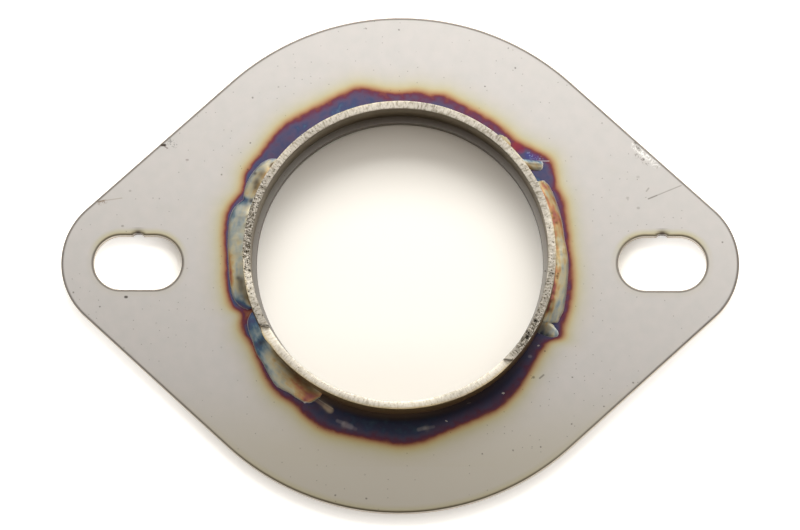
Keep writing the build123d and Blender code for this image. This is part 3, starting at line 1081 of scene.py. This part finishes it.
def table_glow(tree):
    """The table's own light: painted light beside the part and a little through the bore, which lifts
    the part's shadow there, and more far out. No diffuse ray sees it, so that it doesn't light the part
    from below."""
    path = add(tree, "LightPath")
    seen = path.outputs["Is Camera Ray"]
    for ray in ("Is Glossy Ray", "Is Transmission Ray"):
        seen = add(tree, "Math", {0: seen, 1: path.outputs[ray]}, operation="MAXIMUM")
    place = add(tree, "TexCoord").outputs["Object"]
    away = add(tree, "VectorMath", {0: place}, operation="LENGTH").outputs["Value"]
    near, far = (
        add(
            tree,
            "MapRange",
            {"Value": away, "From Min": starts, "From Max": full, "To Max": level},
            interpolation_type=edge,
        )
        for (starts, full, level), edge in ((painted_light_beside_part, "SMOOTHSTEP"), (glow_far_out, "LINEAR"))
    )
    outside = add(tree, "Math", {0: near, 1: far}, operation="ADD")
    to_the_back = add(tree, "SeparateXYZ", {0: place}).outputs["Y"]
    painted_light_through_bore = painted_light_in_bore_level
    for starts, full in painted_light_in_bore_edges:
        painted_light_through_bore = add(
            tree,
            "MapRange",
            {"Value": to_the_back, "From Min": starts, "From Max": full, "To Max": painted_light_through_bore},
            interpolation_type="SMOOTHSTEP",
        )
    level = add(tree, "Math", {0: painted_light_through_bore, 1: outside}, operation="ADD")
    return add(tree, "Math", {0: seen, 1: level}, operation="MULTIPLY")


def white_table():
    """The white table: matt white, with its own light, which paints out the part's shadow so that it
    stays white up to the plate's edge, and runs into the backdrop."""
    made = bpy.data.materials.new("white_table")
    made.use_nodes = True
    tree = made.node_tree
    shader = tree.nodes["Principled BSDF"]
    set_inputs(tree, shader, {
        "Base Color": linear("#F9F6EF"),
        "Roughness": 0.9,
        "Specular IOR Level": 0.0,
        "Emission Color": (1, 1, 1, 1),
        "Emission Strength": table_glow(tree),
    })
    return made


def table_top():
    """A large white table under the part."""
    mesh = bpy.data.meshes.new("table_top")
    corners = [(-1, -1), (1, -1), (1, 1), (-1, 1)]
    points = [(x * table_half, y * table_half, -table_drop) for x, y in corners]
    mesh.from_pydata(points, [], [(0, 1, 2, 3)])
    mesh.materials.append(white_table())
    table = bpy.data.objects.new("table_top", mesh)
    bpy.context.scene.collection.objects.link(table)


# Name, place, size, watts, whether it is turned to the part
lamps = [
    ("ceiling_panel", (0.05, 0.245, 0.40), (0.70, 0.42), 0.87, False),
    ("right_panel", (0.23, 0.10, 0.36), (0.22, 0.30), 0.11, False),
    ("back_softbox", (0.00, 0.445, 0.32), (0.34, 0.22), 2.60, True),
    ("left_softbox", (-0.32, 0.32, 0.31), (0.30, 0.22), 0.25, True),
    ("right_softbox", (0.32, 0.32, 0.31), (0.30, 0.22), 0.45, True),
]
# The room's colour and level: in front of the part, behind and beside it, overhead, and low all round
room_front = ("#F2E2CE", 0.45)
room_back = ("#F6F2EC", 0.40)
room_ceiling = ("#F0D8BC", 0.14)
room_horizon = ("#FFFFFF", 1.0)
lamp_colour = "#FFFEFC"


def lights():
    """A panel overhead, a smaller one on the right, and three softboxes behind the part."""
    for name, place, size, power, faces_part in lamps:
        lamp = bpy.data.lights.new(name, "AREA")
        lamp.shape = "RECTANGLE"
        lamp.size, lamp.size_y = size
        lamp.energy = power
        lamp.color = linear(lamp_colour)[:3]
        held = bpy.data.objects.new(name, lamp)
        held.location = place
        if faces_part:
            held.rotation_euler = Vector(place).to_track_quat("Z", "Y").to_euler()
        held.visible_camera = False
        bpy.context.scene.collection.objects.link(held)


def room():
    """The light of the room: a bright horizon, dimmer walls above it and a dark ceiling."""
    world = bpy.data.worlds.new("room")
    bpy.context.scene.world = world
    world.use_nodes = True
    tree = world.node_tree
    heading = add(tree, "TexCoord").outputs["Generated"]
    parts = add(tree, "SeparateXYZ", {0: heading})
    front, back, ceiling, horizon = (
        [part * level for part in linear(hex_colour)]
        for hex_colour, level in (room_front, room_back, room_ceiling, room_horizon)
    )
    walls = fade(tree, front, back, parts.outputs["Y"], -0.6, 0.1)
    above = fade(tree, walls, ceiling, parts.outputs["Z"], 0.55, 0.80)
    sky = fade(tree, horizon, above, parts.outputs["Z"], 0.22, 0.45)
    set_inputs(tree, tree.nodes["Background"], {"Color": sky})


# Where the camera looks, how far off it stands, and its lens and sensor in millimetres
camera_target = Vector((0.012, -0.066, 0.0)) * MM
camera_distance = 963.553 * MM
camera_lens = 212.37
camera_sensor = 36.0
# Its angles in degrees: over the table, round from the front, and turned on its own axis
camera_elevation = 78.841
camera_azimuth = 4.978
camera_roll = -4.782


def camera():
    """A long lens high above the part, leaning a little to the front and turned a little on its axis."""
    elevation, azimuth, roll = (math.radians(a) for a in (camera_elevation, camera_azimuth, camera_roll))
    back = Vector((
        math.cos(elevation) * math.sin(azimuth),
        -math.cos(elevation) * math.cos(azimuth),
        math.sin(elevation),
    ))
    side = (-back).cross(Vector((0, 0, 1))).normalized()
    up = side.cross(-back)
    right = side * math.cos(roll) + up * math.sin(roll)
    top = up * math.cos(roll) - side * math.sin(roll)
    data = bpy.data.cameras.new("camera")
    data.lens = camera_lens
    data.sensor_width = camera_sensor
    data.clip_start = 0.05
    data.clip_end = 50.0
    made = bpy.data.objects.new("camera", data)
    turned = Matrix((right, top, back)).transposed().to_4x4()
    made.matrix_world = Matrix.Translation(camera_target + back * camera_distance) @ turned
    bpy.context.scene.collection.objects.link(made)
    bpy.context.scene.camera = made


plate_face, plate_wall = mill_finish_stainless(), laser_cut_wall()
tube_wall, tube_end = welded_tube_steel(), sawn_steel_end()
weld_metal = tempered_weld_metal()
flange_plate(plate_face, plate_wall)
pipe_stub(tube_wall, tube_end)
weld_bead(
    "left_weld",
    "weld_left",
    weld_metal,
    reach=[
        (139.5, 0.5), (140.5, 1.6), (142, 2.45), (144, 3.05), (147, 3.4), (151, 3.6), (154, 3.45),
        (157, 3.05), (158.5, 2.8), (160, 3.25), (162, 3.85), (165, 4.15), (170, 3.85), (175, 3.55),
        (180, 3.25), (190, 3.15), (193, 3.05), (195, 2.65), (197, 1.85), (198.5, 0.8),
    ],
    climb=[
        (139.5, 0.5), (143, 2.0), (151, 2.7), (158.5, 2.1), (165, 2.8), (175, 2.7), (185, 2.5),
        (193, 2.1), (198.5, 0.6),
    ],
    tints=[
        (139.5, 1.2, 1.3, 1.4, 1.9), (142, 1.25, 1.40, 1.5, 1.95), (144, 1.25, 1.40, 1.48, 1.9),
        (146, 1.28, 1.38, 1.50, 1.8), (149, 1.28, 1.38, 1.48, 1.9), (151, 1.22, 1.34, 1.46, 1.85),
        (154, 1.25, 1.42, 1.52, 1.8), (157, 1.30, 1.46, 1.50, 1.6), (158.5, 1.0, 1.1, 1.25, 1.4),
        (160, 1.18, 1.2, 1.24, 1.4), (162, 1.28, 1.30, 1.40, 1.45), (164, 1.30, 1.28, 1.36, 1.45),
        (167, 1.38, 1.36, 1.40, 1.45), (175, 1.42, 1.41, 1.43, 1.45), (178.5, 1.42, 1.70, 1.42, 1.42),
        (184, 1.40, 1.84, 1.43, 1.42), (188, 1.38, 1.74, 1.44, 1.46), (191, 1.24, 1.40, 1.50, 1.55),
        (195, 1.02, 1.10, 1.25, 1.6), (197.5, 0.85, 0.95, 1.05, 1.6), (198.5, 0.8, 0.9, 0.9, 1.0),
    ],
    spots=[
        (142.8, 0.8, 0.60, 0.75), (143.9, 0.7, 0.60, 0.75), (149.0, 2.9, 0.35, 0.6),
        (148.2, 1.6, 0.8, 0.30), (151.6, 1.6, 0.8, 0.45), (153.6, 1.2, 0.5, 0.35),
        (158.4, 0.9, 0.6, 0.6), (147.0, 1.1, 1.6, 0.40), (150.5, 1.2, 1.6, 0.35),
        (154.0, 1.0, 1.3, 0.30), (160.6, 1.2, 1.3, 0.50), (164.8, 1.2, 1.6, 0.35),
        (188.3, 0.8, 0.9, 0.65), (187.0, 1.4, 0.5, 0.45), (191.0, 1.0, 1.0, 0.55),
        (194.5, 0.5, 0.9, 0.5), (168.0, 0.4, 0.4, 0.35), (164.5, 0.5, 0.4, 0.35),
    ],
    heave=0.045,
    streaks=0.04,
)
weld_bead(
    "lower_left_weld",
    "weld_lower_left",
    weld_metal,
    reach=[
        (200, 0.5), (202, 1.6), (206, 2.3), (210, 2.6), (213, 3.05), (218, 3.3), (222, 3.85),
        (226.5, 4.3), (229, 3.95), (231, 3.65), (234, 3.55), (237, 3.25), (239, 2.5), (240.5, 0.8),
    ],
    climb=[
        (200, 0.4), (206, 1.5), (213, 2.2), (220, 2.6), (226.5, 2.8), (232, 2.5), (237, 2.0),
        (240.5, 0.6),
    ],
    tints=[
        (200, 0.9, 1.0, 1.1, 1.1), (205, 1.08, 1.12, 1.18, 1.2), (208.5, 1.18, 1.26, 1.28, 1.25),
        (211, 1.16, 1.18, 1.08, 1.1), (213, 1.24, 1.22, 1.14, 1.4), (216, 1.28, 1.27, 1.40, 1.6),
        (220, 1.28, 1.33, 1.46, 1.65), (224, 1.30, 1.37, 1.50, 1.65), (228, 1.34, 1.42, 1.58, 1.65),
        (231, 1.38, 1.52, 1.68, 1.6), (234, 1.42, 1.68, 1.78, 1.6), (237, 1.45, 1.76, 1.80, 1.5),
        (240.5, 1.35, 1.5, 1.8, 1.7),
    ],
    # The spots along the tube from 217 to 239 degrees paint the shade in the corner at the bead's root
    spots=[
        (211.8, 1.4, 0.6, 0.50), (212.3, 0.5, 0.6, 0.4), (217, 0.2, 0.7, 0.35), (219, 0.2, 0.7, 0.42),
        (221, 0.2, 0.7, 0.48), (223, 0.25, 0.75, 0.50), (225, 0.3, 0.8, 0.50), (227, 0.35, 0.8, 0.48),
        (229, 0.4, 0.9, 0.46), (231, 0.45, 0.9, 0.44), (233, 0.5, 0.9, 0.42), (235, 0.5, 0.9, 0.42),
        (237, 0.6, 1.0, 0.40), (239, 0.7, 1.0, 0.38),
    ],
    streaks=0.05,
)
weld_bead(
    "right_weld",
    "weld_right",
    weld_metal,
    reach=[
        (-23.5, 0.6), (-22, 2.65), (-20, 2.95), (-17.5, 3.2), (-15, 3.05), (-10, 2.8), (-5, 2.68),
        (0, 2.58), (4, 2.38), (7, 2.18), (10, 2.20), (15, 2.35), (21, 2.45), (25, 2.5), (28.5, 2.25),
        (30, 1.65), (30.6, 0.6),
    ],
    climb=[
        (-23.5, 0.6), (-20, 2.2), (-17.5, 2.4), (-10, 2.2), (0, 2.0), (7, 1.8), (12, 1.9),
        (26, 1.9), (30.6, 0.5),
    ],
    tints=[
        (-23.5, 1.3, 1.4, 1.42, 1.5), (-20, 1.44, 1.47, 1.46, 1.80), (-17, 1.45, 1.40, 1.32, 1.85),
        (-13, 1.46, 1.45, 1.50, 1.85), (-9, 1.48, 1.50, 1.56, 1.8), (-5, 1.5, 1.48, 1.52, 1.72),
        (0, 1.48, 1.50, 1.54, 1.65), (5, 1.50, 1.54, 1.58, 1.62), (10, 1.52, 1.60, 1.66, 1.75),
        (14, 1.55, 1.68, 1.74, 1.85), (18, 1.53, 1.62, 1.70, 1.80), (22, 1.52, 1.60, 1.66, 1.72),
        (25, 1.50, 1.60, 1.68, 1.68), (27.5, 1.48, 1.70, 1.74, 1.68), (30.6, 1.3, 1.5, 1.5, 1.5),
    ],
    spots=[
        (-6.4, 0.45, 0.26, 0.8), (-5.4, 0.6, 0.18, 0.8), (-7.2, 0.55, 0.14, 0.8), (-2.0, 0.1, 0.30, 0.5),
        (-19, 0.3, 0.7, 0.7), (-16, 0.25, 0.7, 0.7), (-13, 0.2, 0.6, 0.6), (-10, 0.1, 0.5, 0.4),
        (5.5, 0.1, 0.35, 0.4), (8.0, 0.0, 0.3, 0.5), (13.4, 1.0, 0.30, 0.55), (15.2, 0.8, 0.30, 0.5),
        (17, 0.6, 0.3, 0.45), (23, 0.4, 0.35, 0.4), (27.5, 0.3, 0.5, 0.3), (29.0, 1.4, 0.5, 0.25),
        (22.5, 1.2, 1.6, 0.24), (26.4, 1.2, 1.4, 0.32), (29.0, 1.0, 1.1, 0.32), (0.0, 0.1, 0.9, 0.22),
        (2.6, 0.1, 0.9, 0.22), (5.2, 0.1, 0.9, 0.20), (8.0, 0.1, 0.9, 0.18), (11.0, 0.2, 0.9, 0.22),
    ],
    streaks=0.09,
)
weld_bead(
    "upper_right_tack",
    "tack_upper_right",
    weld_metal,
    reach=[
        (36.6, 0.3), (36.8, 1.9), (37.3, 2.65), (38.2, 3.15), (39.5, 3.55), (40.8, 3.8), (41.3, 3.5),
        (41.7, 0.4),
    ],
    climb=[(36.6, 0.25), (37.6, 0.45), (39.5, 0.55), (41.7, 0.4)],
    tints=[
        (36.6, 1.45, 1.50, 1.60, 1.75), (38.2, 1.40, 1.52, 1.66, 1.75), (39.4, 1.30, 1.42, 1.55, 1.7),
        (40.4, 1.14, 1.20, 1.35, 1.5), (41.7, 1.05, 1.15, 1.2, 1.3),
    ],
    spots=[
        (37.6, 0.3, 1.0, 0.35), (40.0, 0.2, 1.0, 0.35), (41.2, 2.8, 0.6, 0.30), (39.6, 1.6, 0.5, 0.30),
        (38.8, 1.2, 1.5, 0.28), (38.4, 2.9, 1.0, 0.34), (40.4, 2.6, 1.0, 0.22),
    ],
    fullness=2.2,
    heave=0.05,
    lean=-1.5,
    streaks=0.14,
)
weld_bead(
    "lower_right_tack",
    "tack_lower_right",
    weld_metal,
    reach=[
        (-28.0, 0.3), (-27.6, 2.1), (-27.0, 3.2), (-26.3, 3.85), (-25.6, 4.0), (-24.9, 3.9),
        (-24.2, 3.4), (-23.5, 2.6), (-22.9, 2.0), (-22.4, 0.4),
    ],
    climb=[(-28, 0.15), (-27, 0.24), (-25.5, 0.30), (-24, 0.34), (-22.4, 0.3)],
    tints=[
        (-28, 1.12, 1.18, 1.22, 1.3), (-26.5, 1.22, 1.36, 1.30, 1.4), (-25, 1.26, 1.40, 1.36, 1.5),
        (-22.4, 1.22, 1.34, 1.40, 1.5),
    ],
    spots=[
        (-27.0, 0.6, 1.2, 0.50), (-25.0, 0.4, 1.1, 0.42), (-26.8, 1.9, 0.7, 0.35), (-25.0, 1.9, 0.6, 0.25),
        (-27.6, 2.6, 0.6, 0.30),
    ],
    fullness=2.4,
    heave=0.04,
    streaks=0.14,
)
weld_lump(weld_metal)
table_top()
lights()
room()
camera()
bpy.context.scene.view_settings.view_transform = "Standard"
